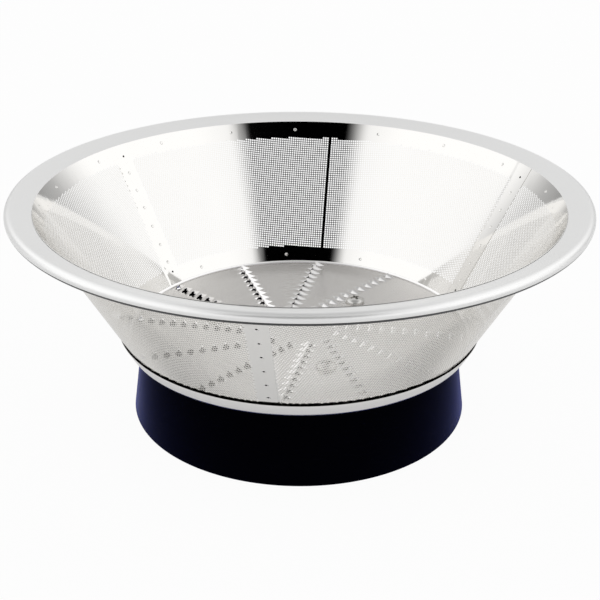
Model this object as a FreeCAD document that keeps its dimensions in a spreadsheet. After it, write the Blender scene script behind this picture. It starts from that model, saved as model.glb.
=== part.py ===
import FreeCAD, Part
import math
import os
import Sketcher

# Filter basket of a centrifugal juice extractor, in millimetres, +Z up.
# The origin is on the spin axis, at the middle of the face that the base stands on.
# Angles are degrees about +Z, counted from +X towards +Y.

SIZES = {
    # Rim ring. The overhang is from the rim's edge in to the wall,
    # the rise from the flange up to the bead's top.
    "rim_radius": 90.0,
    "rim_overhang": 8.2,
    "flange_top": 71.2,
    "bead_radius": 1.8,
    "bead_rise": 1.9,
    "rim_sheet": 0.6,
    "skirt_drop": 5.2,
    "bead_flats": 8,
    # Filter panels. The wall's foot is measured on its outer face, level with the floor.
    "wall_foot_radius": 55.35,
    "panel_count": 3,
    "filter_sheet": 0.4,
    "weld_gap": 0.05,
    "first_seam_angle": 21.8,
    "lap_angle": 5.0,
    "joggle_angle": 0.6,
    "seam_gap_angle": 0.1,
    "seam_strip": 5.7,
    "rib_width": 1.6,
    "top_margin": 5.0,
    "foot_margin": 5.0,
    "foot_gap": 0.1,
    "window_bar": 1.2,
    "window_rows": 5,
    "window_columns": 6,
    # Grating disc
    "disc_top": 25.0,
    "disc_sheet": 0.6,
    "band_height": 4.4,
    "pan_bend": 0.5,
    "row_count": 12,
    "row_first_angle": 17.2,
    "row_offset": 5.6,
    "row_end_gap": 2.45,
    "row_inner_end": 11.1,
    "teeth_per_row": 12,
    "tooth_width": 2.7,
    "tooth_height": 1.35,
    "tooth_length": 2.9,
    "tooth_skin": 0.35,
    "tooth_mouth": 0.25,
    # Screws through the floor
    "screw_count": 3,
    "screw_circle": 28.2,
    "screw_first_angle": 47.2,
    "screw_radius": 1.75,
    "screw_length": 10.0,
    "screw_tip": 1.2,
    "screw_head_radius": 3.3,
    "screw_head_height": 1.9,
    "screw_head_side": 0.8,
    "screw_head_flat": 2.2,
    "recess_length": 3.8,
    "recess_width": 0.9,
    "recess_depth": 1.1,
    "screw_clearance": 0.05,
    "disc_hole_clearance": 0.3,
    # Drive base
    "base_set_in": 3.95,
    "base_flare": 3.3,
    "base_wall": 2.4,
    "base_plate": 3.0,
    "base_foot_bevel": 0.3,
    "hub_radius": 16.0,
    "hub_foot": 3.5,
    "rib_count": 6,
    "base_rib_width": 2.0,
    "base_rib_depth": 7.0,
    "boss_radius": 3.9,
    "boss_depth": 11.0,
    "boss_floor": 2.0,
    # Drive bush
    "bush_radius": 10.5,
    "bush_length": 14.5,
    "bore_radius": 6.5,
    "collar_radius": 13.0,
    "collar_thickness": 1.5,
    "key_count": 3,
    "key_width": 2.6,
    "key_depth": 1.6,
    "press_gap": 0.02,
}

# How far a cutting solid or a hidden root runs past the face that it crosses
OVERRUN = 0.5
FULL_TURN = 360.0

doc = FreeCAD.newDocument("filter_basket")
sheet = doc.addObject("Spreadsheet::Sheet", "sizes")
for row, (alias, number) in enumerate(SIZES.items(), start=1):
    sheet.set(f"A{row}", alias)
    sheet.set(f"B{row}", str(number))
    sheet.setAlias(f"B{row}", alias)
doc.recompute()

# Expressions that several sub-parts share. LEAN is the wall's run outwards for each unit of height.
DISC_FOOT = "(sizes.disc_top - sizes.disc_sheet)"
WALL_TOP_RADIUS = "(sizes.rim_radius - sizes.rim_overhang)"
LEAN = f"(({WALL_TOP_RADIUS} - sizes.wall_foot_radius) / (sizes.flange_top - sizes.disc_top))"
SLANT = f"sqrt(1 + {LEAN} ^ 2)"
PLATE_FOOT = f"({DISC_FOOT} - sizes.base_plate)"
PANEL_FOOT = "(sizes.disc_top + sizes.pan_bend + sizes.foot_gap)"
LAP_FACE = "-(sizes.filter_sheet + sizes.weld_gap)"
LAP_INNER = "-(2 * sizes.filter_sheet + sizes.weld_gap)"
PANEL_ANGLE = "(360 / sizes.panel_count)"
SEAT_RADIUS = "(sizes.bush_radius + sizes.press_gap)"


def size(alias):
    """The number in one cell of the sheet."""
    return float(sheet.get(alias))


def wall_radius(height, outwards):
    """Expression for the radius of the cone at a height, moved outwards square to its wall."""
    return f"(sizes.wall_foot_radius + ({height} - sizes.disc_top) * {LEAN} + ({outwards}) * {SLANT})"


def new_body(label):
    body = doc.addObject("PartDesign::Body", label)
    body.Label = label
    return body


def new_sketch(body, name, role, lift="0", turn="0"):
    """Sketch on one of the body's own planes, lifted along its normal and turned about +Z."""
    sketch = body.newObject("Sketcher::SketchObject", name)
    origin_plane = next(f for f in body.Origin.OriginFeatures if f.Role == role)
    sketch.AttachmentSupport = [(origin_plane, "")]
    sketch.MapMode = "FlatFace"
    spin_axis = FreeCAD.Vector(0, 0, 1) if role == "XY_Plane" else FreeCAD.Vector(0, 1, 0)
    sketch.AttachmentOffset = FreeCAD.Placement(FreeCAD.Vector(), FreeCAD.Rotation(spin_axis, 1))
    sketch.setExpression("AttachmentOffset.Base.z", lift)
    sketch.setExpression("AttachmentOffset.Rotation.Angle", turn)
    return sketch


def hold_point(sketch, geometry, end, across, up):
    """Ties one point of a sketch to two expressions, counted from the sketch's origin."""
    for kind, axis, expression in (("DistanceX", -2, across), ("DistanceY", -1, up)):
        if expression == "0":
            sketch.addConstraint(Sketcher.Constraint("PointOnObject", geometry, end, axis))
            continue
        value = float(sketch.evalExpression(expression))
        index = sketch.addConstraint(Sketcher.Constraint(kind, -1, 1, geometry, end, value))
        sketch.setExpression(f"Constraints[{index}]", expression)


def outline(sketch, corners):
    """Closed outline of straight lines through corners, each a pair of expressions."""
    values = [[float(sketch.evalExpression(e)) for e in corner] for corner in corners]
    points = [FreeCAD.Vector(across, up, 0) for across, up in values]
    count = len(points)
    first = sketch.GeometryCount
    for i in range(count):
        sketch.addGeometry(Part.LineSegment(points[i], points[(i + 1) % count]), False)
    for i in range(count):
        sketch.addConstraint(Sketcher.Constraint("Coincident", first + i, 2, first + (i + 1) % count, 1))
    for i, (across, up) in enumerate(corners):
        hold_point(sketch, first + i, 1, across, up)
    return sketch


def circle(sketch, across, radius):
    """Circle whose centre lies on the sketch's horizontal axis."""
    centre = FreeCAD.Vector(float(sketch.evalExpression(across)), 0, 0)
    value = float(sketch.evalExpression(radius))
    sketch.addGeometry(Part.Circle(centre, FreeCAD.Vector(0, 0, 1), value), False)
    hold_point(sketch, 0, 3, across, "0")
    index = sketch.addConstraint(Sketcher.Constraint("Radius", 0, value))
    sketch.setExpression(f"Constraints[{index}]", radius)
    return sketch


def revolve(body, name, outlines, turn="0", sweep="360", kind="Revolution"):
    """Solid, or cut, turned about the spin axis from outlines of radius and height."""
    sketch = new_sketch(body, f"{name}_sketch", "XZ_Plane", turn=turn)
    for corners in outlines:
        outline(sketch, corners)
    feature = body.newObject(f"PartDesign::{kind}", name)
    feature.Profile = sketch
    feature.ReferenceAxis = (sketch, ["V_Axis"])
    feature.setExpression("Angle", sweep)
    doc.recompute()
    return feature


def extrude(body, kind, name, sketch, length, reverse=False):
    """Pad or pocket of a sketch, by a length expression."""
    feature = body.newObject(f"PartDesign::{kind}", name)
    feature.Profile = sketch
    feature.setExpression("Length", length)
    feature.Reversed = reverse
    doc.recompute()
    return feature


def polar(body, feature, axis, count, sweep="360"):
    """Copies of one feature about the spin axis, evenly spaced over a full turn or a sweep."""
    pattern = body.newObject("PartDesign::PolarPattern", f"{feature.Name}_pattern")
    pattern.Originals = [feature]
    pattern.Axis = axis
    pattern.setExpression("Angle", sweep)
    pattern.setExpression("Occurrences", count)
    body.Tip = pattern
    doc.recompute()
    return pattern


def make_rim_ring():
    """Flange and skirt outside the wall, with the rolled bead on the flange's edge."""
    body = new_body("rim_ring")
    flange_foot = "(sizes.flange_top - sizes.rim_sheet)"
    skirt_foot = "(sizes.flange_top - sizes.skirt_drop)"
    skirt_out = "sizes.weld_gap + sizes.rim_sheet"
    bead_line = "(sizes.rim_radius - sizes.bead_radius)"
    bead_top = "(sizes.flange_top + sizes.bead_rise)"
    bead_middle = f"({bead_top} - sizes.bead_radius)"
    half_flat = "180deg / sizes.bead_flats"
    shoulder = f"({bead_line} - sizes.bead_radius * tan({half_flat}))"
    revolve(body, "flange", [[
        (wall_radius(skirt_foot, "sizes.weld_gap"), skirt_foot),
        (wall_radius(skirt_foot, skirt_out), skirt_foot),
        (wall_radius(flange_foot, skirt_out), flange_foot),
        (shoulder, f"{bead_top} - sizes.rim_sheet"),
        (shoulder, bead_top),
        (wall_radius("sizes.flange_top", "sizes.weld_gap"), "sizes.flange_top"),
    ]])
    corner_reach = f"sizes.bead_radius / cos({half_flat})"
    turns = [f"({2 * i + 1} * {half_flat})" for i in range(int(size("bead_flats")))]
    revolve(body, "bead", [[
        (f"{bead_line} + {corner_reach} * cos({turn})", f"{bead_middle} + {corner_reach} * sin({turn})")
        for turn in turns
    ]])
    return body


def band(inwards, outwards, foot=PANEL_FOOT, top="sizes.flange_top"):
    """Outline of a wall sheet between two distances outwards of the cone's outer face."""
    return [
        (wall_radius(foot, inwards), foot),
        (wall_radius(foot, outwards), foot),
        (wall_radius(top, outwards), top),
        (wall_radius(top, inwards), top),
    ]


def foot_angle(width):
    """Expression for the angle that a width takes up at the foot of the wall."""
    return f"(({width}) / sizes.wall_foot_radius * 180 / pi)"


def cut_windows(body):
    """Rows of windows in both halves of a panel, between its margins, its seam strips and its middle rib."""
    low = "(sizes.disc_top + sizes.foot_margin)"
    high = "(sizes.flange_top - sizes.top_margin)"
    row_pitch = f"(({high} - {low} + sizes.window_bar) / sizes.window_rows)"
    inner = f"{LAP_INNER} - {OVERRUN}"
    rows = [
        band(inner, f"{OVERRUN}", f"({low} + {i} * {row_pitch})",
             f"({low} + {i + 1} * {row_pitch} - sizes.window_bar)")
        for i in range(int(size("window_rows")))
    ]
    strip = foot_angle("sizes.seam_strip / 2")
    rib = foot_angle("sizes.rib_width / 2")
    bar = foot_angle("sizes.window_bar")
    pitch = f"(({PANEL_ANGLE} / 2 - {strip} - {rib} + {bar}) / sizes.window_columns)"
    for name, start in (("near_windows", strip), ("far_windows", f"({PANEL_ANGLE} / 2 + {rib})")):
        groove = revolve(body, name, rows, start, f"{pitch} - {bar}", kind="Groove")
        polar(body, groove, (groove.Profile[0], ["V_Axis"]), "sizes.window_columns",
              f"{pitch} * (sizes.window_columns - 1)")


def make_panel_pattern():
    """One etched sheet, from the seam at angle 0 to the next. Its near edge laps inside its neighbour."""
    body = new_body("panel_pattern")
    near = "(sizes.lap_angle / 2)"
    start = f"({near} + sizes.seam_gap_angle)"
    far_edge = f"{PANEL_ANGLE} - sizes.seam_gap_angle"
    revolve(body, "panel_sheet", [band("-sizes.filter_sheet", "0")], start, far_edge)
    revolve(body, "joggle", [band(LAP_INNER, "0")], start, "sizes.joggle_angle")
    revolve(body, "lap", [band(LAP_INNER, LAP_FACE)], f"-{near}",
            "sizes.lap_angle + sizes.seam_gap_angle + sizes.joggle_angle")
    cut_windows(body)
    return body


def make_filter_panels():
    """The panels, alike, each turned to its own seam."""
    pattern = make_panel_pattern()
    panels = []
    for number in range(1, int(size("panel_count")) + 1):
        panel = doc.addObject("Part::Feature", f"filter_panel_{number}")
        panel.Shape = pattern.Shape.copy()
        panel.Placement = FreeCAD.Placement(FreeCAD.Vector(), FreeCAD.Rotation(FreeCAD.Vector(0, 0, 1), 1))
        panel.setExpression("Placement.Rotation.Angle",
                            f"sizes.first_seam_angle + {number - 1} * {PANEL_ANGLE}")
        panels.append(panel)
    return panels


def spike(width, length, front, foot, tip):
    """Solid with a triangular foot on z = foot and one upright edge point at its front, z = tip."""
    left = FreeCAD.Vector(-width / 2, front, foot)
    right = FreeCAD.Vector(width / 2, front, foot)
    tail = FreeCAD.Vector(0, -length, foot)
    top = FreeCAD.Vector(0, front, tip)
    triangles = [(left, tail, right), (left, right, top), (right, tail, top), (tail, left, top)]
    faces = [Part.Face(Part.makePolygon([*corners, corners[0]])) for corners in triangles]
    return Part.makeSolid(Part.makeShell(faces))


def tooth_shapes():
    """The raised skin of every tooth, and the hollow that opens each one to its front and underside."""
    top, sheet_depth, height = size("disc_top"), size("disc_sheet"), size("tooth_height")
    root = sheet_depth / 2
    grow = (height + root) / height
    skin = spike(size("tooth_width") * grow, size("tooth_length") * grow, 0, top - root, top + height)
    inside = height - size("tooth_skin")
    hollow = spike(size("tooth_width"), size("tooth_length"), size("tooth_mouth"),
                   top - sheet_depth - OVERRUN, top + inside)
    outer_end = size("wall_foot_radius") - size("row_end_gap")
    pitch = (outer_end - size("row_inner_end")) / (size("teeth_per_row") - 1)
    skins, hollows = [], []
    for row in range(int(size("row_count"))):
        turn = size("row_first_angle") + row * FULL_TURN / size("row_count")
        for index in range(int(size("teeth_per_row"))):
            along = outer_end - index * pitch
            place = FreeCAD.Placement(FreeCAD.Vector(), FreeCAD.Rotation(FreeCAD.Vector(0, 0, 1), turn))
            spot = FreeCAD.Vector(along, size("row_offset"), 0)
            place = place * FreeCAD.Placement(spot, FreeCAD.Rotation())
            for source, copies in ((skin, skins), (hollow, hollows)):
                copy = source.copy()
                copy.Placement = place
                copies.append(copy)
    return Part.makeCompound(skins), Part.makeCompound(hollows)


def make_grating_disc():
    """Pressed pan whose upturned rim holds the wall, with rows of open teeth raised from its floor."""
    pan = new_body("pan")
    rim_in = "sizes.weld_gap"
    rim_out = "sizes.weld_gap + sizes.disc_sheet"
    rim_top = "(sizes.disc_top + sizes.band_height)"
    bend_inside = "(sizes.disc_top + sizes.pan_bend)"
    bend_outside = f"({DISC_FOOT} + sizes.pan_bend)"
    revolve(pan, "pan_sheet", [[
        ("0", DISC_FOOT),
        (f"{wall_radius(DISC_FOOT, rim_out)} - sizes.pan_bend", DISC_FOOT),
        (wall_radius(bend_outside, rim_out), bend_outside),
        (wall_radius(rim_top, rim_out), rim_top),
        (wall_radius(rim_top, rim_in), rim_top),
        (wall_radius(bend_inside, rim_in), bend_inside),
        (f"{wall_radius('sizes.disc_top', rim_in)} - sizes.pan_bend", "sizes.disc_top"),
        ("0", "sizes.disc_top"),
    ]])
    hole_sketch = new_sketch(pan, "screw_hole_sketch", "XY_Plane", DISC_FOOT, "sizes.screw_first_angle")
    circle(hole_sketch, "sizes.screw_circle", "sizes.screw_radius + sizes.disc_hole_clearance")
    hole = extrude(pan, "Pocket", "screw_hole", hole_sketch, "sizes.disc_sheet", reverse=True)
    polar(pan, hole, (hole_sketch, ["N_Axis"]), "sizes.screw_count")
    skins = doc.addObject("Part::Feature", "tooth_skins")
    hollows = doc.addObject("Part::Feature", "tooth_hollows")
    skins.Shape, hollows.Shape = tooth_shapes()
    raised = doc.addObject("Part::Fuse", "raised_pan")
    raised.Base = pan
    raised.Tool = skins
    disc = doc.addObject("Part::Cut", "grating_disc")
    disc.Base = raised
    disc.Tool = hollows
    doc.recompute()
    return disc


def cross_corners(length, width):
    """Outline of an even-armed cross, from one arm's corner round to the next."""
    far, near = f"{length} / 2", f"{width} / 2"
    return [
        (far, f"-({near})"), (far, near), (near, near), (near, far),
        (f"-({near})", far), (f"-({near})", near), (f"-({far})", near), (f"-({far})", f"-({near})"),
        (f"-({near})", f"-({near})"), (f"-({near})", f"-({far})"), (near, f"-({far})"), (near, f"-({near})"),
    ]


def make_screw(number):
    """Pan-head screw that stands on its own origin, head above the floor, turned to its place."""
    body = new_body(f"screw_{number}")
    head_top = "sizes.screw_head_height"
    shank_end = "-(sizes.screw_length - sizes.screw_tip)"
    revolve(body, f"screw_blank_{number}", [[
        ("0", "-sizes.screw_length"),
        ("sizes.screw_radius", shank_end),
        ("sizes.screw_radius", "0"),
        ("sizes.screw_head_radius", "0"),
        ("sizes.screw_head_radius", "sizes.screw_head_side"),
        ("sizes.screw_head_flat", head_top),
        ("0", head_top),
    ]])
    recess = new_sketch(body, f"recess_sketch_{number}", "XY_Plane", head_top)
    outline(recess, cross_corners("sizes.recess_length", "sizes.recess_width"))
    extrude(body, "Pocket", f"recess_{number}", recess, "sizes.recess_depth")
    turn = f"(sizes.screw_first_angle + {number - 1} * 360 / sizes.screw_count) * 1deg"
    body.setExpression("Placement.Base.x", f"sizes.screw_circle * cos({turn})")
    body.setExpression("Placement.Base.y", f"sizes.screw_circle * sin({turn})")
    body.setExpression("Placement.Base.z", "sizes.disc_top")
    return body


def make_disc_screws():
    """The screws that hold the grating disc on the base, as separate solids of one group."""
    group = doc.addObject("Part::Compound", "disc_screws")
    group.Links = [make_screw(number) for number in range(1, int(size("screw_count")) + 1)]
    doc.recompute()
    return group


def make_drive_base():
    """Moulded skirt, plate and hub, with ribs and screw bosses under the plate."""
    body = new_body("drive_base")
    skirt_top = "(sizes.wall_foot_radius - sizes.base_set_in)"
    skirt_foot = f"({skirt_top} + sizes.base_flare)"
    skirt_inner_top = f"({skirt_top} - sizes.base_wall)"
    skirt_inner_foot = f"({skirt_foot} - sizes.base_wall)"
    seat_roof = "(sizes.hub_foot + sizes.bush_length)"
    revolve(body, "base_moulding", [[
        ("0", DISC_FOOT),
        (skirt_top, DISC_FOOT),
        (skirt_foot, "sizes.base_foot_bevel"),
        (f"{skirt_foot} - sizes.base_foot_bevel", "0"),
        (skirt_inner_foot, "0"),
        (skirt_inner_top, PLATE_FOOT),
        ("sizes.hub_radius", PLATE_FOOT),
        ("sizes.hub_radius", "sizes.hub_foot"),
        (SEAT_RADIUS, "sizes.hub_foot"),
        (SEAT_RADIUS, seat_roof),
        ("0", seat_roof),
    ]])
    rib_sketch = new_sketch(body, "base_rib_sketch", "XY_Plane", PLATE_FOOT, "sizes.screw_first_angle")
    half = "sizes.base_rib_width / 2"
    rib_start = "(sizes.hub_radius - sizes.base_rib_width / 2)"
    rib_end = f"({skirt_top} - sizes.base_wall / 4)"
    outline(rib_sketch, [
        (rib_start, f"-({half})"), (rib_end, f"-({half})"), (rib_end, half), (rib_start, half),
    ])
    rib = extrude(body, "Pad", "base_rib", rib_sketch, "sizes.base_rib_depth", reverse=True)
    polar(body, rib, (rib_sketch, ["N_Axis"]), "sizes.rib_count")
    boss_sketch = new_sketch(body, "boss_sketch", "XY_Plane", PLATE_FOOT, "sizes.screw_first_angle")
    circle(boss_sketch, "sizes.screw_circle", "sizes.boss_radius")
    boss = extrude(body, "Pad", "boss", boss_sketch, "sizes.boss_depth", reverse=True)
    polar(body, boss, (boss_sketch, ["N_Axis"]), "sizes.screw_count")
    pilot_sketch = new_sketch(body, "pilot_sketch", "XY_Plane", DISC_FOOT, "sizes.screw_first_angle")
    circle(pilot_sketch, "sizes.screw_circle", "sizes.screw_radius + sizes.screw_clearance")
    pilot = extrude(body, "Pocket", "pilot", pilot_sketch,
                    "sizes.base_plate + sizes.boss_depth - sizes.boss_floor")
    polar(body, pilot, (pilot_sketch, ["N_Axis"]), "sizes.screw_count")
    return body


def make_drive_bush():
    """Keyed metal bush pressed into the hub, with a collar on the hub's lower face."""
    body = new_body("drive_bush")
    top = "(sizes.hub_foot + sizes.bush_length)"
    foot = "(sizes.hub_foot - sizes.collar_thickness)"
    revolve(body, "bush_blank", [[
        ("sizes.bore_radius", foot),
        ("sizes.collar_radius", foot),
        ("sizes.collar_radius", "sizes.hub_foot"),
        ("sizes.bush_radius", "sizes.hub_foot"),
        ("sizes.bush_radius", top),
        ("sizes.bore_radius", top),
    ]])
    key_sketch = new_sketch(body, "key_sketch", "XY_Plane", top, "sizes.screw_first_angle")
    half = "sizes.key_width / 2"
    key_end = "(sizes.bore_radius + sizes.key_depth)"
    key_start = "(sizes.bore_radius / 2)"
    outline(key_sketch, [
        (key_start, f"-({half})"), (key_end, f"-({half})"), (key_end, half), (key_start, half),
    ])
    key = extrude(body, "Pocket", "key", key_sketch, "sizes.bush_length + sizes.collar_thickness")
    polar(body, key, (key_sketch, ["N_Axis"]), "sizes.key_count")
    return body


def check_document():
    """Stops if any object of the document failed to build."""
    for item in doc.Objects:
        if "Invalid" in item.State or "Error" in item.State:
            raise RuntimeError(f"{item.Label} failed: {item.State}")


def write_parts(pieces):
    """Checks every sub-part's shape, then writes one STEP file for each."""
    for piece in pieces:
        if piece.Shape.isNull() or not piece.Shape.isValid():
            raise RuntimeError(f"{piece.Label} has no valid shape")
    os.makedirs("parts", exist_ok=True)
    for piece in pieces:
        piece.Shape.exportStep(f"parts/{piece.Label}.step")
        solids = len(piece.Shape.Solids)
        print(f"{piece.Label}: {solids} solid(s), {piece.Shape.Volume:.1f} mm3, box {piece.Shape.BoundBox}")


pieces = [
    make_rim_ring(),
    *make_filter_panels(),
    make_grating_disc(),
    make_disc_screws(),
    make_drive_base(),
    make_drive_bush(),
]
doc.recompute()
check_document()
write_parts(pieces)
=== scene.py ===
import math

import bmesh
import bpy
import numpy as np
from bpy.props import FloatProperty, FloatVectorProperty, IntProperty, PointerProperty
from bpy.types import Operator, Panel, PropertyGroup
from mathutils import Matrix, Vector
from mathutils.geometry import delaunay_2d_cdt


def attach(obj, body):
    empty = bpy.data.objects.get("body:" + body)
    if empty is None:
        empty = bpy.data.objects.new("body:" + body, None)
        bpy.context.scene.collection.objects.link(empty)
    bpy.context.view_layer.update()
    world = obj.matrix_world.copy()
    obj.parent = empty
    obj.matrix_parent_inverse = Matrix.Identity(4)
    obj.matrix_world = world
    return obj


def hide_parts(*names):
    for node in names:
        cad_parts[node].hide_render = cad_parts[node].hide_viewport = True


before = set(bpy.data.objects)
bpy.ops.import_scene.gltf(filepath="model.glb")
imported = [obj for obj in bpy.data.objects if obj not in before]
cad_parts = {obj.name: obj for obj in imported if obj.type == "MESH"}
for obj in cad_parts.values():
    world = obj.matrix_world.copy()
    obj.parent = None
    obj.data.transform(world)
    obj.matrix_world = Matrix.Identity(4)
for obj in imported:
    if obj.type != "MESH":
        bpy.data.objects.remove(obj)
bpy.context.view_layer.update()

bl_info = {
    "name": "Juicer Filter Basket",
    "version": (1, 0, 0),
    "blender": (4, 5, 0),
    "location": "View3D > Sidebar > Basket",
    "description": "Dresses the packed filter basket: rim, panels, toothed disc, screws, base and bush",
    "category": "Object",
}

BODY = "root"
MM = 0.001
FULL_TURN = 2 * math.pi
SPIN_AXIS = Vector((0, 0, 1))
# Edges that bend by more than this stay crisp
CRISP_ANGLE = math.radians(38)
# The exporter keeps a map of this name, so patterned sheet is baked on its own flat pattern
FLAT_MAP = "OFBake"
# Points closer than this fall together
MERGE = 1e-7
# Triangles of less than half this area are no faces
SLIVER = 1e-14
# Soft noise lies mostly between these values
NOISE_SPAN = (0.3, 0.7)
# Steps round the large rings and round the base
RING_STEPS = 288
BASE_STEPS = 224
# Reach of a tool into what it is joined to, or past what it cuts
OVERLAP = 1.0 * MM


def millimetres(name, description, value):
    return FloatProperty(name=name, description=description, default=value * MM, precision=6,
                         subtype="DISTANCE", unit="LENGTH")


def degrees(name, description, value):
    return FloatProperty(name=name, description=description, default=math.radians(value),
                         subtype="ANGLE", unit="ROTATION")


def share(name, description, value):
    return FloatProperty(name=name, description=description, default=value, min=0, max=1, subtype="FACTOR")


def number(name, description, value):
    return IntProperty(name=name, description=description, default=value, min=1)


def colour(name, description, value):
    return FloatVectorProperty(name=name, description=description, default=value, size=3, min=0, max=1,
                               subtype="COLOR")


class WallSizes(PropertyGroup):
    """The cone that the rim, the panels and the disc's edge follow, on the wall's outer face"""
    floor: millimetres("Floor", "Height of the disc's upper face", 25.0)
    flange: millimetres("Flange", "Height of the rim's flange at the wall", 71.2)
    foot_radius: millimetres("Foot radius", "Radius of the wall level with the floor", 55.35)
    top_radius: millimetres("Top radius", "Radius of the wall level with the flange", 81.8)


class RimSizes(PropertyGroup):
    """The rolled rim"""
    radius: millimetres("Radius", "Outer radius of the bead", 90.0)
    bead: millimetres("Bead", "Radius of the rolled bead", 1.8)
    bead_top: millimetres("Bead top", "Height of the bead's crest", 73.1)
    sheet: millimetres("Sheet", "Thickness of the rim's sheet", 0.6)
    skirt: millimetres("Skirt", "Drop of the skirt below the flange", 5.2)
    tint: colour("Tint", "Colour of the satin steel", (0.91, 0.91, 0.905))
    roughness: share("Roughness", "Mean roughness of the satin steel", 0.38)
    # Painted shade: this near-black tint, below the angle that follows, covers the bead's outer underside as
    # a dark reflection and shade painted into its colour
    bead_shade_tint: colour("Under tint", "Colour of the bead's dull underside", (0.08, 0.08, 0.082))
    under: degrees("Under", "Angle below level at which the bead's dull underside begins", 15.0)


class PanelSizes(PropertyGroup):
    """The etched filter panels"""
    count: number("Count", "Panels round the wall", 3)
    first_seam: degrees("First seam", "Angle of the first seam from +X", 21.8)
    sheet: millimetres("Sheet", "Thickness of the etched sheet", 0.10)
    gap: millimetres("Gap", "Air between two lapped sheets", 0.03)
    lap: degrees("Lap", "Angle that two panels overlap", 5.0)
    foot: millimetres("Foot", "Height of the panel's lower edge", 25.6)
    mesh_foot: millimetres("Mesh foot", "Height where the mesh begins", 30.0)
    mesh_top: millimetres("Mesh top", "Height where the mesh ends", 66.2)
    strip: millimetres("Seam strip", "Width of the plain strip along a seam", 5.7)
    rib: millimetres("Rib", "Width of the plain rib in the middle of a panel", 1.05)
    pitch: millimetres("Pitch", "Distance from hole to hole", 0.805)
    hole: share("Hole", "Share of the pitch that a hole takes up on the outer face", 0.77)
    taper: share("Taper", "Size of a hole on the inner face beside the outer one", 0.93)
    tint: colour("Tint", "Colour of the polished sheet", (0.86, 0.85, 0.83))
    mesh_tint: colour("Mesh tint", "Colour of the etched mesh", (0.84, 0.825, 0.795))
    # The near-black tint paints the shade in the outer welds' dimples, and colours the marks at the seam ends
    weld_shade_and_mark_tint: colour("Burnt tint", "Colour of the welds' burnt marks", (0.03, 0.028, 0.026))


class DiscSizes(PropertyGroup):
    """The grating disc"""
    sheet: millimetres("Sheet", "Thickness of the pressed sheet", 0.6)
    band: millimetres("Band", "Height of the upturned edge above the floor", 4.4)
    gap: millimetres("Gap", "Air between the upturned edge and the wall", 0.05)
    rows: number("Rows", "Rows of teeth", 12)
    first_row: degrees("First row", "Direction of the first row from +X", 17.2)
    row_offset: millimetres("Row offset", "Distance of a row's line from the centre", 5.6)
    row_outer: millimetres("Row outer end", "Distance of the outermost tooth along its row", 52.9)
    row_inner: millimetres("Row inner end", "Distance of the innermost tooth along its row", 11.1)
    teeth: number("Teeth", "Teeth in each row", 12)
    tooth_width: millimetres("Tooth width", "Width of a tooth at its open front", 2.7)
    tooth_height: millimetres("Tooth height", "Rise of a tooth above the floor", 1.35)
    tooth_length: millimetres("Tooth length", "Length of a tooth from its front to its tail", 2.9)
    tooth_skin: millimetres("Tooth skin", "Thickness of the drawn sheet at a tooth's point", 0.3)
    tooth_edge: millimetres("Tooth edge", "Reach of the ground edge at a tooth's point", 0.4)
    mouth: millimetres("Mouth", "Reach of the opening in the floor before a tooth", 0.9)
    groove: millimetres("Groove", "Length of the sunk groove that leads to the opening", 3.3)
    groove_depth: millimetres("Groove depth", "Depth of the groove at the opening", 1.2)
    flare: millimetres("Flare", "Lean of the upturned edge's inner face away from the wall, at its top", 0.38)
    tint: colour("Tint", "Colour of the satin steel", (0.78, 0.765, 0.75))
    roughness: share("Roughness", "Mean roughness of the satin steel", 0.24)
    drawn_tint: colour("Drawn tint", "Colour of the teeth and the upturned edge", (0.88, 0.87, 0.865))
    drawn_roughness: share("Drawn roughness", "Mean roughness of the teeth and the upturned edge", 0.12)


class ScrewSizes(PropertyGroup):
    """The screws through the floor"""
    count: number("Count", "Screws round the floor", 3)
    circle: millimetres("Circle", "Radius of the circle the screws stand on", 28.2)
    first: degrees("First", "Angle of the first screw from +X", 47.2)
    shank: millimetres("Shank", "Radius of the shank", 1.75)
    length: millimetres("Length", "Length of the shank", 10.0)
    head: millimetres("Head", "Radius of the head", 3.3)
    head_height: millimetres("Head height", "Height of the domed head", 1.9)
    recess: millimetres("Recess", "Length of the cross recess", 3.8)
    recess_width: millimetres("Recess width", "Width of the cross recess", 0.95)
    recess_depth: millimetres("Recess depth", "Depth of the cross recess", 1.1)
    hole: millimetres("Hole", "Radius of the disc's clearance hole", 2.05)
    tint: colour("Tint", "Colour of the bright steel", (0.66, 0.65, 0.63))
    roughness: share("Roughness", "Mean roughness of the bright steel", 0.09)


class BaseSizes(PropertyGroup):
    """The moulded base and its bush"""
    top_radius: millimetres("Top radius", "Radius of the skirt at the disc", 51.4)
    foot_radius: millimetres("Foot radius", "Radius of the skirt at its foot", 54.7)
    wall: millimetres("Wall", "Thickness of the skirt", 2.4)
    plate: millimetres("Plate", "Thickness of the plate under the disc", 3.0)
    hollow: millimetres("Hollow", "Depth of the hollow in the plate under the disc's teeth", 1.4)
    land: millimetres("Land", "Width of the edge, and of the pad round a screw, that bear the disc", 0.8)
    foot_round: millimetres("Foot round", "Rounding of the foot's outer edge", 0.3)
    hub: millimetres("Hub", "Radius of the hub", 16.0)
    hub_foot: millimetres("Hub foot", "Height of the hub's lower face", 3.5)
    seat: millimetres("Seat", "Radius of the bush's seat in the hub", 10.52)
    seat_roof: millimetres("Seat roof", "Height of the closed end of the seat", 18.0)
    ribs: number("Ribs", "Ribs under the plate", 6)
    rib_width: millimetres("Rib width", "Thickness of a rib", 2.0)
    rib_depth: millimetres("Rib depth", "Drop of a rib below the plate", 7.0)
    boss: millimetres("Boss", "Radius of a screw boss", 3.9)
    boss_depth: millimetres("Boss depth", "Drop of a boss below the plate", 11.0)
    pilot: millimetres("Pilot", "Radius of a screw's pilot hole", 1.8)
    tint: colour("Tint", "Colour of the moulding", (0.0002, 0.0002, 0.0007))
    sheen: colour("Sheen", "Tint of the moulding's sheen, seen along its face", (0.06, 0.09, 0.55))
    bush_tint: colour("Bush tint", "Colour of the steel bush", (0.55, 0.55, 0.55))


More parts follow.
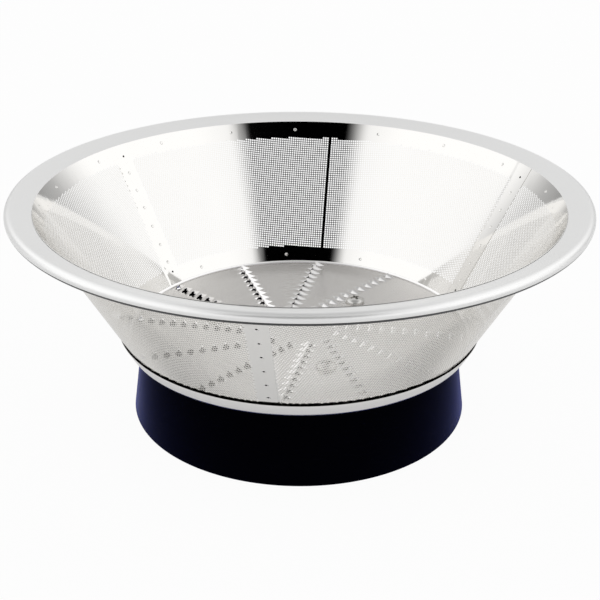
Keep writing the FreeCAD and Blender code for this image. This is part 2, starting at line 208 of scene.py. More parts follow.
class StageSizes(PropertyGroup):
    """Camera, light and floor"""
    camera_back: millimetres("Camera back", "Distance of the camera before the spin axis", 338.3)
    camera_height: millimetres("Camera height", "Height of the camera above the floor", 192.8)
    pitch: degrees("Pitch", "Angle that the camera looks down", 25.04)
    roll: degrees("Roll", "Tilt of the camera about its line of sight", 0.3)
    lens: FloatProperty(name="Lens", description="Focal length for a 36 mm sensor", default=68.9,
                        subtype="DISTANCE_CAMERA", unit="CAMERA")
    shift_x: FloatProperty(name="Shift X", description="Sideways shift of the lens", default=0.001)
    shift_y: FloatProperty(name="Shift Y", description="Upward shift of the lens", default=0.0022)
    gap_height: degrees("Gap height", "Elevation of the unlit gap over the camera", 40.0)
    gap_turn: degrees("Gap turn", "Turn of the unlit gap to the right of the camera", 1.0)
    gap_spread: degrees("Gap spread", "Half angle of the unlit gap from side to side", 24.0)
    gap_rise: degrees("Gap rise", "Half angle of the unlit gap from foot to top", 11.0)
    gap_edge: degrees("Gap edge", "Half width of the soft edge of the gap", 5.0)
    around: share("Around", "Strength of the surround at the horizon", 0.81)
    sides: share("Sides", "Strength that the surround gains to the left and the right", 0.38)
    above: share("Above", "Strength that the surround loses straight overhead", 0.34)
    low: share("Low", "Strength that the surround loses near the horizon behind the basket", 0.66)
    floor_half: millimetres("Floor half", "Half the width of the floor", 6000.0)
    floor_tint: colour("Floor tint", "Colour of the floor", (0.8, 0.8, 0.8))
    paper: share("Paper", "Share of plain white in the floor as the camera sees it", 0.95)
    paper_in_metal: share("Paper in metal", "Share of plain white in the floor as metal shows it", 0.35)


class Cone:
    """The wall's cone, and the flat pattern of a sheet that is rolled into it."""

    def __init__(self, wall):
        self.floor = wall.floor
        self.foot_radius = wall.foot_radius
        self.lean = (wall.top_radius - wall.foot_radius) / (wall.flange - wall.floor)
        self.stretch = math.hypot(1, self.lean)
        self.sine = self.lean / self.stretch
        self.cosine = 1 / self.stretch

    def radius(self, height, outwards=0.0):
        return self.foot_radius + (height - self.floor) * self.lean + outwards * self.stretch

    def reach(self, height):
        """Distance of a height from the cone's point, along the wall."""
        return self.radius(height) / self.sine

    def angle(self, flat):
        """Angle round the spin axis of points of the flat pattern."""
        return np.arctan2(flat[:, 0], flat[:, 1]) / self.sine

    def roll_up(self, flat, outwards):
        """Points of the flat pattern on the cone, moved outwards square to it."""
        radius = np.hypot(flat[:, 0], flat[:, 1]) * self.sine
        height = self.floor + (radius - self.foot_radius) / self.lean - outwards * self.sine
        radius = radius + outwards * self.cosine
        angle = self.angle(flat)
        return np.column_stack([radius * np.cos(angle), radius * np.sin(angle), height])


def full_turn(steps):
    return np.linspace(0, FULL_TURN, steps, endpoint=False)


def rounded(radius, steps):
    return [(radius * math.cos(t), radius * math.sin(t)) for t in full_turn(steps)]


def arc(middle, radius, first, last, steps):
    """Points of a round in the turning plane, from one angle to another, in degrees."""
    turns = np.radians(np.linspace(first, last, steps + 1))
    return [(middle[0] + radius * math.cos(t), middle[1] + radius * math.sin(t)) for t in turns]


def screw_spots(screws):
    turns = [screws.first + screw * FULL_TURN / screws.count for screw in range(screws.count)]
    return [(math.cos(turn) * screws.circle, math.sin(turn) * screws.circle) for turn in turns]


def doubled_areas(flat, faces):
    """Twice the area of each triangle, negative where it runs clockwise."""
    one, two, three = (flat[faces[:, k]] for k in range(3))
    return (two - one)[:, 0] * (three - one)[:, 1] - (two - one)[:, 1] * (three - one)[:, 0]


def fill_flat(flat, limits):
    """Triangles between the lines of a flat drawing, counter-clockwise."""
    spots = [Vector(spot) for spot in flat / MM]
    placed, _, faces, origins, _, _ = delaunay_2d_cdt(spots, limits, [], 0, 1e-6, True)
    if len(placed) != len(flat) or any(len(origin) != 1 for origin in origins):
        raise RuntimeError("lines of a flat drawing cross each other")
    faces = np.array([origin[0] for origin in origins])[np.array(faces)]
    clockwise = doubled_areas(flat, faces) < 0
    faces[clockwise] = faces[clockwise][:, ::-1]
    return faces


def sides_of(faces):
    """Each face's sides, as pairs of points."""
    return np.stack([faces, np.roll(faces, -1, axis=1)], axis=-1).reshape(-1, 2)


def quads_between(rings):
    """Faces from each ring of points to the next."""
    beside = np.roll(rings, -1, axis=1)
    return np.stack([rings[:-1], rings[1:], beside[1:], beside[:-1]], axis=-1).reshape(-1, 4)


def smooth(mesh):
    """Smooths a mesh, and keeps its hard edges crisp."""
    mesh.shade_smooth()
    mesh.set_sharp_from_angle(angle=CRISP_ANGLE)
    return mesh


def build_mesh(name, points, faces):
    mesh = bpy.data.meshes.new(name)
    mesh.from_pydata([tuple(p) for p in points], [], [tuple(f) for f in faces])
    return smooth(mesh)


def tidy_mesh(mesh):
    """Merges points that fall together, and turns all faces outwards."""
    shape = bmesh.new()
    shape.from_mesh(mesh)
    bmesh.ops.remove_doubles(shape, verts=shape.verts, dist=MERGE)
    bmesh.ops.dissolve_degenerate(shape, edges=shape.edges, dist=MERGE)
    bmesh.ops.recalc_face_normals(shape, faces=shape.faces)
    shape.to_mesh(mesh)
    shape.free()
    return smooth(mesh)


def moved(mesh, place):
    """Copy of a mesh at another place."""
    copy = mesh.copy()
    copy.transform(place)
    return copy


def turned_mesh(name, profile, steps):
    """Closed solid turned from a profile of radius and height about the spin axis."""
    radius, height = np.array(profile).T
    turns = full_turn(steps)[:, None]
    points = np.stack(np.broadcast_arrays(np.cos(turns) * radius, np.sin(turns) * radius, height), axis=-1)
    rings = np.arange(points.size // 3).reshape(steps, -1)
    return tidy_mesh(build_mesh(name, points.reshape(-1, 3), quads_between(np.vstack([rings, rings[:1]]))))


def prism_mesh(name, lower, upper, low, high):
    """Closed solid between two outlines of the same number of corners at two heights."""
    count = len(lower)
    points = [(x, y, low) for x, y in lower] + [(x, y, high) for x, y in upper]
    sides = [(i, (i + 1) % count, count + (i + 1) % count, count + i) for i in range(count)]
    caps = [tuple(reversed(range(count))), tuple(range(count, 2 * count))]
    return tidy_mesh(build_mesh(name, points, sides + caps))


def carve(mesh, tools, operation):
    """Joins tool meshes to a mesh, or cuts them from it."""
    items = [bpy.data.objects.new("carving", part) for part in (mesh, *tools)]
    for item in items:
        bpy.context.scene.collection.objects.link(item)
    for tool in items[1:]:
        change = items[0].modifiers.new("carve", "BOOLEAN")
        change.operation = operation
        change.object = tool
        change.solver = "EXACT"
    graph = bpy.context.evaluated_depsgraph_get()
    result = bpy.data.meshes.new_from_object(items[0].evaluated_get(graph))
    result.name = mesh.name
    for item in items:
        bpy.data.objects.remove(item)
    if not result.polygons:
        raise RuntimeError(f"{mesh.name} came out empty")
    return tidy_mesh(result)


def add_piece(name, mesh, finishes, slot, *nodes):
    """Puts a finished mesh in the scene, riding on the basket in place of its CAD nodes."""
    mesh.name = name
    for finish in finishes:
        mesh.materials.append(finish)
    piece = bpy.data.objects.new(name, mesh)
    bpy.context.scene.collection.objects.link(piece)
    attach(piece, BODY)
    if nodes:
        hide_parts(*nodes)
    return piece


class Nodes:
    """A node tree under construction, with short ways to add and join its nodes."""

    def __init__(self, tree):
        self.tree = tree

    def node(self, kind, **values):
        made = self.tree.nodes.new(f"ShaderNode{kind}")
        for key, value in values.items():
            setattr(made, key, value)
        return made

    def join(self, source, target):
        self.tree.links.new(source, target)

    def math(self, operation, *values):
        made = self.node("Math", operation=operation)
        for socket, value in zip(made.inputs, values):
            if isinstance(value, bpy.types.NodeSocket):
                self.join(value, socket)
            else:
                socket.default_value = value
        return made.outputs[0]

    def spread(self, source, start, stop, low, high, shape="LINEAR"):
        """Maps a value's span on to another one."""
        made = self.node("MapRange", interpolation_type=shape)
        self.join(source, made.inputs["Value"])
        for socket, value in zip(made.inputs[1:5], (start, stop, low, high)):
            socket.default_value = value
        return made.outputs[0]


class Finish(Nodes):
    """A material under construction."""

    def __init__(self, name, **values):
        self.material = bpy.data.materials.new(name)
        self.material.use_nodes = True
        super().__init__(self.material.node_tree)
        self.shader = next(n for n in self.tree.nodes if n.type == "BSDF_PRINCIPLED")
        for socket, value in values.items():
            self.shader.inputs[socket.replace("_", " ").title().replace("Ior", "IOR")].default_value = value

    def noise(self, vector, scale, detail=2.0, roughness=0.5):
        made = self.node("TexNoise")
        self.join(vector, made.inputs["Vector"])
        made.inputs["Scale"].default_value = scale
        made.inputs["Detail"].default_value = detail
        made.inputs["Roughness"].default_value = roughness
        return made.outputs[0]

    def place(self):
        """Place of a point in the basket's own frame."""
        return self.node("TexCoord").outputs["Object"]

    def turned(self):
        """Place of a point as radius and height alone, for marks that run round the spin axis."""
        parts = self.node("SeparateXYZ")
        self.join(self.place(), parts.inputs[0])
        x, y, height = parts.outputs
        squares = self.math("ADD", self.math("MULTIPLY", x, x), self.math("MULTIPLY", y, y))
        made = self.node("CombineXYZ")
        self.join(self.math("SQRT", squares), made.inputs[0])
        self.join(height, made.inputs[1])
        return made.outputs[0]

    def vary(self, pattern, tint, dark, low, high):
        """Varies the colour between a share of the tint and the tint, and the roughness, by a pattern."""
        made = self.node("Mix", data_type="RGBA")
        self.join(pattern, made.inputs["Factor"])
        first, second = (s for s in made.inputs if s.type == "RGBA")
        first.default_value = (*(channel * dark for channel in tint), 1)
        second.default_value = (*tint, 1)
        self.join(next(s for s in made.outputs if s.type == "RGBA"), self.shader.inputs["Base Color"])
        self.join(self.spread(pattern, *NOISE_SPAN, low, high), self.shader.inputs["Roughness"])

    def bump(self, source, strength, distance):
        made = self.node("Bump")
        made.inputs["Strength"].default_value = strength
        made.inputs["Distance"].default_value = distance
        self.join(source, made.inputs["Height"])
        self.join(made.outputs[0], self.shader.inputs["Normal"])


def spun_steel(name, tint, roughness, lines):
    """Satin steel with fine marks round the spin axis."""
    finish = Finish(name, metallic=1.0)
    marks = finish.noise(finish.turned(), lines, 3.0, 0.6)
    clouds = finish.noise(finish.place(), 60.0, 3.0)
    mixed = finish.math("ADD", finish.math("MULTIPLY", marks, 0.6), finish.math("MULTIPLY", clouds, 0.4))
    finish.vary(mixed, tint, 0.94, roughness - 0.06, roughness + 0.06)
    finish.bump(marks, 0.05, 0.00005)
    return finish.material


def polished_sheet(name, tint):
    """Bright rolled sheet, nearly a mirror, with slight waves."""
    finish = Finish(name, metallic=1.0)
    waves = finish.noise(finish.place(), 45.0, 2.0)
    finish.vary(waves, tint, 0.97, 0.03, 0.07)
    finish.bump(waves, 0.12, 0.0004)
    return finish.material


def clouded_steel(name, tint, dark, low, high, scale):
    """Etched, machined or headed steel with slight clouding."""
    finish = Finish(name, metallic=1.0)
    finish.vary(finish.noise(finish.place(), scale, 3.0), tint, dark, low, high)
    return finish.material


def bright_steel(name, tint, roughness):
    return clouded_steel(name, tint, 0.9, roughness - 0.05, roughness + 0.07, 700.0)


def gloss_moulding(name, tint, sheen):
    """Deep black moulded plastic with a little orange peel."""
    finish = Finish(name, specular_ior_level=0.006, sheen_weight=1.0, sheen_roughness=0.3,
                    sheen_tint=(*sheen, 1))
    peel = finish.noise(finish.place(), 420.0, 2.0)
    finish.vary(finish.noise(finish.place(), 30.0, 3.0), tint, 0.8, 0.22, 0.3)
    finish.bump(peel, 0.04, 0.0001)
    return finish.material


class Surround(Nodes):
    """The world under construction, as a strength of white for each heading."""

    def __init__(self, world):
        world.use_nodes = True
        super().__init__(world.node_tree)
        self.tree.nodes.clear()
        self.heading = self.node("TexCoord").outputs["Generated"]

    def towards(self, direction):
        """Cosine of the angle from a heading to a direction."""
        made = self.node("VectorMath", operation="DOT_PRODUCT")
        made.inputs[1].default_value = direction
        self.join(self.heading, made.inputs[0])
        return made.outputs["Value"]

    def beside(self, direction):
        return self.math("ABSOLUTE", self.towards(direction))

    def fade(self, value, start, stop, low=0.0, high=1.0):
        return self.spread(value, start, stop, low, high, "SMOOTHSTEP")

    def window(self, direction, spread, edge):
        """Headings within an angle of the plane square to a direction."""
        return self.fade(self.beside(direction), math.sin(spread - edge), math.sin(spread + edge), 1.0, 0.0)


class BASKET_OT_stage(Operator):
    """Sets the camera, the soft white surround and the pale floor"""
    bl_idname = "basket.stage"
    bl_label = "Stage"

    def execute(self, context):
        scene, basket = context.scene, context.scene.filter_basket
        scene.view_settings.view_transform = "Standard"
        self.add_camera(scene, basket.stage)
        self.light_world(scene, basket.stage)
        self.lay_floor(scene, basket.stage)
        return {"FINISHED"}

    def add_camera(self, scene, sizes):
        lens = bpy.data.cameras.new("camera")
        lens.lens = sizes.lens
        lens.sensor_width = 36.0
        lens.shift_x = sizes.shift_x
        lens.shift_y = sizes.shift_y
        lens.clip_start = 0.01
        camera = bpy.data.objects.new("camera", lens)
        scene.collection.objects.link(camera)
        look = Matrix.Rotation(math.radians(90) - sizes.pitch, 4, "X") @ Matrix.Rotation(sizes.roll, 4, "Z")
        camera.matrix_world = Matrix.Translation((0, -sizes.camera_back, sizes.camera_height)) @ look
        scene.camera = camera

    def light_world(self, scene, sizes):
        scene.world = bpy.data.worlds.new("white_surround")
        made = Surround(scene.world)
        look = Vector((math.sin(sizes.gap_turn), -math.cos(sizes.gap_turn), 0))
        aside = look.cross(SPIN_AXIS)
        ahead = look * math.cos(sizes.gap_height) + SPIN_AXIS * math.sin(sizes.gap_height)
        # Each part of the surround fades between two cosines
        up, across, back = made.towards(SPIN_AXIS), made.beside((1, 0, 0)), made.towards((0, 1, 0))
        sides = made.math("MULTIPLY", made.fade(across, 0.1, 0.7), sizes.sides)
        above = made.math("MULTIPLY", made.fade(up, 0.78, 0.97), sizes.above)
        low = made.math("MULTIPLY", made.fade(up, 0.12, 0.36, 1.0, 0.0), made.fade(back, 0.15, 0.5))
        low = made.math("MULTIPLY", low, made.fade(across, 0.15, 0.45))
        light = made.math("ADD", made.math("SUBTRACT", sides, above), sizes.around)
        light = made.math("SUBTRACT", light, made.math("MULTIPLY", low, sizes.low))
        gap = made.math("MULTIPLY", made.window(aside, sizes.gap_spread, sizes.gap_edge),
                        made.window(aside.cross(ahead), sizes.gap_rise, sizes.gap_edge))
        gap = made.math("MULTIPLY", gap, made.math("GREATER_THAN", made.towards(ahead), 0.0))
        surround = made.node("Background")
        surround.inputs["Color"].default_value = (1, 1, 1, 1)
        made.join(made.math("MULTIPLY", light, made.math("SUBTRACT", 1.0, gap)), surround.inputs["Strength"])
        made.join(surround.outputs[0], made.node("OutputWorld").inputs["Surface"])

    def lay_floor(self, scene, sizes):
        half = sizes.floor_half
        corners = [(-half, -half, 0), (half, -half, 0), (half, half, 0), (-half, half, 0)]
        mesh = bpy.data.meshes.new("floor")
        mesh.from_pydata(corners, [], [(0, 1, 2, 3)])
        floor = bpy.data.objects.new("floor", mesh)
        scene.collection.objects.link(floor)
        tint = (*sizes.floor_tint, 1)
        finish = Finish("pale_floor", base_color=tint, roughness=0.9, specular_ior_level=0.0)
        ray = finish.node("LightPath")
        seen = finish.math("MAXIMUM", ray.outputs["Is Camera Ray"], ray.outputs["Is Transmission Ray"])
        seen = finish.math("MAXIMUM", finish.math("MULTIPLY", seen, sizes.paper),
                           finish.math("MULTIPLY", ray.outputs["Is Glossy Ray"], sizes.paper_in_metal))
        paper = finish.node("Emission")
        paper.inputs["Color"].default_value = (1, 1, 1, 1)
        mixed = finish.node("MixShader")
        finish.join(seen, mixed.inputs[0])
        finish.join(finish.shader.outputs[0], mixed.inputs[1])
        finish.join(paper.outputs[0], mixed.inputs[2])
        output = next(n for n in finish.tree.nodes if n.type == "OUTPUT_MATERIAL")
        finish.join(mixed.outputs[0], output.inputs["Surface"])
        mesh.materials.append(finish.material)


class BASKET_OT_rim(Operator):
    """Turns the rising flange and the skirt with the rolled bead"""
    bl_idname = "basket.rim"
    bl_label = "Rolled rim"

    def execute(self, context):
        basket = context.scene.filter_basket
        sizes, cone, gap = basket.rim, Cone(basket.wall), basket.disc.gap
        top = basket.wall.flange
        foot, low = top - sizes.skirt, top - sizes.sheet
        bend, edge, step = 0.9 * MM, 0.15 * MM, 0.1 * MM
        out = gap + sizes.sheet
        bead = (sizes.radius - sizes.bead, sizes.bead_top - sizes.bead)
        inner = cone.radius(top, gap) + 0.45 * MM
        run, climb = bead[0] - inner, bead[1] - top
        slope = math.degrees(math.asin(sizes.bead / math.hypot(run, climb)) + math.atan2(climb, run))
        profile = [
            (cone.radius(foot + step, gap), foot + step),
            (cone.radius(foot, gap + edge), foot),
            (cone.radius(foot, out - edge), foot),
            (cone.radius(foot + step, out), foot + step),
            (cone.radius(low - bend, out), low - bend),
            (cone.radius(low - bend * 0.45, out) + bend * 0.06, low - bend * 0.45),
            (cone.radius(low, out) + bend * 0.35, low - bend * 0.1),
            (cone.radius(low, out) + bend, low + bend * 0.1),
            *arc(bead, sizes.bead, 160, 450 + slope, 44),
            (inner, top),
            (cone.radius(top, gap) + 0.12 * MM, top - 0.04 * MM),
            (cone.radius(top - edge, gap), top - edge),
        ]
        mesh = turned_mesh("rolled_rim", profile, RING_STEPS)
        finishes = [spun_steel("satin_rim_steel", sizes.tint, sizes.roughness, 2600.0),
                    spun_steel("painted_shade_rim_steel", sizes.bead_shade_tint, sizes.roughness, 2600.0)]
        # Painted shade: faces of the bead's outer half below the given angle take the near-black finish,
        # which paints the dark reflection and shade under the bead
        for face in mesh.polygons:
            out, up = math.hypot(*face.center.xy) - bead[0], face.center.z - bead[1]
            face.material_index = int(out > 0 and math.atan2(up, out) < -sizes.under)
        add_piece("rolled_rim", mesh, finishes, "rim_steel", "rim_ring")
        return {"FINISHED"}


class FlatPanel:
    """Flat pattern of one etched panel: its middle rib lies on x = 0, and the cone's point at the origin."""

    # Lines of points beside a seam, in steps of 0.8 degrees, and their distance from the mesh
    seam_lines = (-4.6, -3.2, -2.4, -1.6, -0.8, 0.0, 0.8, 1.6, 2.4)
    clear = 0.3 * MM
    # Turn from the end of the lap to where the sheet leaves, and reaches, the wall's face
    step_turns = (math.radians(0.1), math.radians(0.9))
    # Steps along the panel's foot and top, up its sides and up the lines beside its seams
    foot_steps, side_steps, seam_steps = 160, 40, 43
    # Half angle that no chord along the foot exceeds, and angle from the last line to the panel's edge
    chord, edge_turn = 0.01, 0.002
    # Share of a hole within which its walls lie on the map, and the map's empty border
    well_share, map_border = 0.5, 0.002

    def __init__(self, sizes, cone, top):
        self.sizes, self.cone = sizes, cone
        self.half = FULL_TURN / sizes.count / 2
        self.low, self.high = cone.reach(sizes.mesh_foot), cone.reach(sizes.mesh_top)
        self.foot, self.top = cone.reach(sizes.foot), cone.reach(top)
        self.hole = sizes.pitch * sizes.hole
        self.lay_holes()
        self.lay_margin()

    def lay_holes(self):
        """Square holes in rows along the rib, wherever a whole one fits, and the bars between them."""
        pitch, hole = self.sizes.pitch, self.hole
        seam = self.half * self.cone.sine
        columns = int(self.high * math.sin(seam) / pitch) + 2
        first = -int(self.low * (1 - math.cos(seam)) / pitch) - 1
        rows = int((self.high - self.low) / pitch) + 1 - first
        self.first_row = self.low + first * pitch
        across = self.sizes.rib / 2 + np.arange(columns) * pitch
        along = self.first_row + np.arange(rows) * pitch
        corners = np.array([(0, 0), (hole, 0), (hole, hole), (0, hole)])
        place = np.stack(np.meshgrid(across, along), axis=-1)[:, :, None, :] + corners
        reach = np.hypot(place[..., 0], place[..., 1])
        to_seam = reach * np.sin(seam - np.arctan2(place[..., 0], place[..., 1]))
        fits = (reach >= self.low) & (reach <= self.high) & (to_seam >= self.sizes.strip / 2)
        self.open = np.pad(fits.all(axis=2), ((0, 1), (0, 1)))
        grid = self.open[:-1, :-1]
        count = int(grid.sum()) * 4
        index = np.full((*self.open.shape, 4), -1)
        index[:-1, :-1][grid] = np.arange(count).reshape(-1, 4)
        half = place[grid].reshape(-1, 2)
        self.points = np.vstack([half, half * (-1, 1)])
        right, above = np.roll(index, -1, axis=1), np.roll(index, -1, axis=0)
        corner = np.roll(right, -1, axis=0)
        beside = self.open & np.roll(self.open, -1, axis=1)
        over = self.open & np.roll(self.open, -1, axis=0)
        cross = beside & np.roll(beside, -1, axis=0)
        bars = [
            np.stack([index[..., 1], right[..., 0], right[..., 3], index[..., 2]], axis=-1)[beside],
            np.stack([index[..., 3], index[..., 2], above[..., 1], above[..., 0]], axis=-1)[over],
            np.stack([index[..., 2], right[..., 3], corner[..., 0], above[..., 1]], axis=-1)[cross],
        ]
        quads, holes = np.vstack(bars), index[self.open]
        self.quads = np.vstack([quads, quads[:, ::-1] + count])
        self.holes = np.vstack([holes, holes[:, ::-1] + count])

    def in_mesh(self, flat):
        """Which points lie on a hole or on a bar between two holes."""
        u = (np.abs(flat[:, 0]) - self.sizes.rib / 2) / self.sizes.pitch
        v = (flat[:, 1] - self.first_row) / self.sizes.pitch
        i, j = np.floor(u).astype(int), np.floor(v).astype(int)
        rows, columns = self.open.shape
        inside = (u >= 0) & (v >= 0) & (i < columns - 1) & (j < rows - 1)
        i, j = np.clip(i, 0, columns - 2), np.clip(j, 0, rows - 2)
        bar_u, bar_v = u - i > self.sizes.hole, v - j > self.sizes.hole
        here = self.open[j, i]
        here &= ~bar_u | self.open[j, i + 1]
        here &= ~bar_v | self.open[j + 1, i]
        here &= ~(bar_u & bar_v) | self.open[j + 1, i + 1]
        return inside & here

    def lay_margin(self):
        """Plain sheet round the mesh: margins, rib and seam strips, in triangles."""
        sides = np.sort(np.vstack([sides_of(self.quads), sides_of(self.holes)]), axis=1)
        keys, counts = np.unique(sides[:, 0] * len(self.points) + sides[:, 1], return_counts=True)
        border = np.stack(np.divmod(keys[counts == 1], len(self.points)), axis=-1)
        used, border = np.unique(border, return_inverse=True)
        edge = (self.half + self.sizes.lap / 2) * self.cone.sine
        outline = self.outline(edge)
        filler = self.filler(edge, self.points[used])
        flat = np.vstack([self.points[used], outline, filler])
        ring = len(used) + np.arange(len(outline))
        limits = np.vstack([border.reshape(-1, 2), np.stack([ring, np.roll(ring, -1)], axis=-1)])
        faces = fill_flat(flat, limits.tolist())
        middle = flat[faces].mean(axis=1)
        reach, turn = np.hypot(*middle.T), np.abs(np.arctan2(*middle.T))
        keep = (reach > self.foot * math.cos(self.chord)) & (reach < self.top) & (turn < edge)
        keep &= ~self.in_mesh(middle) & (np.abs(doubled_areas(flat, faces)) > SLIVER)
        numbers = np.concatenate([used, len(self.points) + np.arange(len(outline) + len(filler))])
        self.points = np.vstack([self.points, outline, filler])
        self.margin = numbers[faces[keep]]
        self.rim = numbers[ring]

    def outline(self, edge):
        """Edge of the panel, counter-clockwise."""
        turns = np.linspace(-edge, edge, self.foot_steps + 1)
        rises = np.linspace(self.foot, self.top, self.side_steps + 1)[1:-1]

        def on(reach, turn):
            return np.column_stack([reach * np.sin(turn), reach * np.cos(turn)])

        return np.vstack([on(self.foot, turns), on(rises, edge),
                          on(self.top, turns[::-1]), on(rises[::-1], -edge)])

    def filler(self, edge, border):
        """Points along the seam strips, so that they bend with the cone and step at the lap."""
        lines = self.half + np.array(self.seam_lines) * math.radians(0.8)
        lines = lines[lines * self.cone.sine < edge - self.edge_turn]
        near_lines = -self.half + self.sizes.lap / 2 + np.array(self.step_turns)
        turns = np.concatenate([lines, -lines, near_lines]) * self.cone.sine
        rises = np.linspace(self.foot, self.top, self.seam_steps + 1)[1:-1]
        turn, reach = np.meshgrid(turns, rises)
        flat = np.column_stack([(reach * np.sin(turn)).ravel(), (reach * np.cos(turn)).ravel()])
        flat = flat[~self.in_mesh(flat)]
        apart = np.hypot(*(flat[:, None, :] - border[None, :, :]).transpose(2, 0, 1)).min(axis=1)
        return flat[apart > self.clear]

    def set_back(self, flat):
        """How far the sheet lies out from the wall's face: one sheet inwards where it laps inside."""
        start, stop = self.step_turns
        turn = self.cone.angle(flat) + self.half - self.sizes.lap / 2
        rise = np.clip((turn - start) / (stop - start), 0, 1)
        return -(1 - rise * rise * (3 - 2 * rise)) * (self.sizes.sheet + self.sizes.gap)

    def mesh(self):
        """The panel rolled into the cone, with both faces, its holes' walls, its edges and its flat map."""
        count = len(self.points)
        centre = self.points[self.holes].mean(axis=1, keepdims=True)
        inner = self.points.copy()
        inner[self.holes] = centre + (self.points[self.holes] - centre) * self.sizes.taper
        well = self.points.copy()
        well[self.holes] = centre + (self.points[self.holes] - centre) * self.well_share
        rim, beside = self.rim, np.roll(self.rim, -1)
        well[rim] = self.points[rim] + self.clear * self.points[rim] / np.hypot(*self.points[rim].T)[:, None]
        solid = np.vstack([self.cone.roll_up(self.points, self.set_back(self.points)),
                           self.cone.roll_up(inner, self.set_back(inner) - self.sizes.sheet)])
        after = np.roll(self.holes, -1, axis=1)
        walls = np.stack([self.holes, after, after + count, self.holes + count], axis=-1).transpose(1, 0, 2)
        edges = np.stack([beside, rim, rim + count, beside + count], axis=-1)
        # On the map the inner face lies below the outer one, and the walls lie within their holes
        drop = self.top - self.foot * math.cos((self.half + self.sizes.lap) * self.cone.sine) + 2 * MM
        below = self.points - (0, drop)
        groups = [(self.margin, 0, well), (self.margin[:, ::-1] + count, 0, below), (edges, 0, well),
                  (self.quads, 1, well), (self.quads[:, ::-1] + count, 1, below),
                  (walls.reshape(-1, 4), 1, well)]
        mesh = build_mesh("etched_panel", solid, [f for faces, _, _ in groups for f in faces.tolist()])
        shades = np.concatenate([np.full(len(faces), shade) for faces, shade, _ in groups])
        mesh.polygons.foreach_set("material_index", shades)
        spread = np.vstack([np.vstack([self.points, inside])[faces].reshape(-1, 2)
                            for faces, _, inside in groups])
        spread -= spread.min(axis=0)
        layer = mesh.uv_layers.new(name=FLAT_MAP)
        spread = spread / spread.max() * (1 - 2 * self.map_border) + self.map_border
        layer.uv.foreach_set("vector", spread.ravel())
        return mesh


class BASKET_OT_filter_panels(Operator):
    """Rolls the etched panels, each with its mesh, plain margins, middle rib and lapped edge"""
    bl_idname = "basket.filter_panels"
    bl_label = "Filter panels"

    def execute(self, context):
        basket = context.scene.filter_basket
        sizes = basket.panels
        flat = FlatPanel(sizes, Cone(basket.wall), basket.wall.flange)
        pattern = flat.mesh()
        finishes = [polished_sheet("polished_filter_sheet", sizes.tint),
                    clouded_steel("etched_filter_mesh", sizes.mesh_tint, 0.95, 0.05, 0.09, 90.0)]
        for panel in range(sizes.count):
            turn = Matrix.Rotation(sizes.first_seam + (2 * panel + 1) * flat.half, 4, SPIN_AXIS)
            name, node = f"etched_panel_{panel + 1}", f"filter_panel_{panel + 1}"
            add_piece(name, moved(pattern, turn), finishes, "filter_steel", node)
        bpy.data.meshes.remove(pattern)
        return {"FINISHED"}


